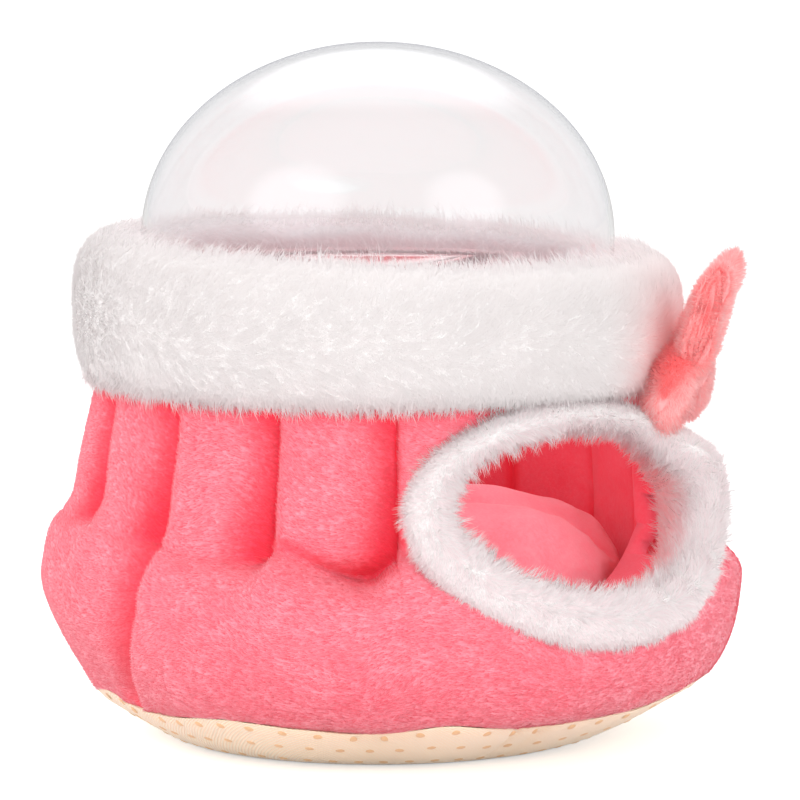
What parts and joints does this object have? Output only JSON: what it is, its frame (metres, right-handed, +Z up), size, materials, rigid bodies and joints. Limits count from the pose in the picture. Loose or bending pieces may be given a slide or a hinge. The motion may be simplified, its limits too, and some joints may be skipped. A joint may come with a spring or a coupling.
{
  "type": "hamster cotton nest",
  "caption": "Padded plush nest for a small pet, with a faux-fur collar that holds a clear dome, a fur-edged oval entrance, a loose inner cushion and a plush bow.",
  "frame": {"origin": "centre of the sole's flat underside, on the axis of the dome", "axes": "+Z up along the dome's axis, -Y out of the middle of the entrance, +X towards the side that the bow is on"},
  "size_m": [0.175, 0.1831, 0.1765],
  "materials": {
    "clear_plastic": "clear, glossy",
    "collar_fur": "long white faux fur",
    "trim_fur": "long white faux fur",
    "coral_plush": "short plush pile",
    "cushion_plush": "short plush pile",
    "bow_plush": "plush with a longer pile",
    "beige_cloth": "fine twill with small grip dots"
  },
  "bodies": {
    "root": {"dome": "clear_plastic", "collar": "collar_fur", "padded_wall": "coral_plush", "entrance_trim": "trim_fur", "cushion": "cushion_plush", "sole": "beige_cloth", "bow_loops": "bow_plush", "bow_tails": "bow_plush", "bow_knot": "bow_plush"}
  },
  "joints": []
}
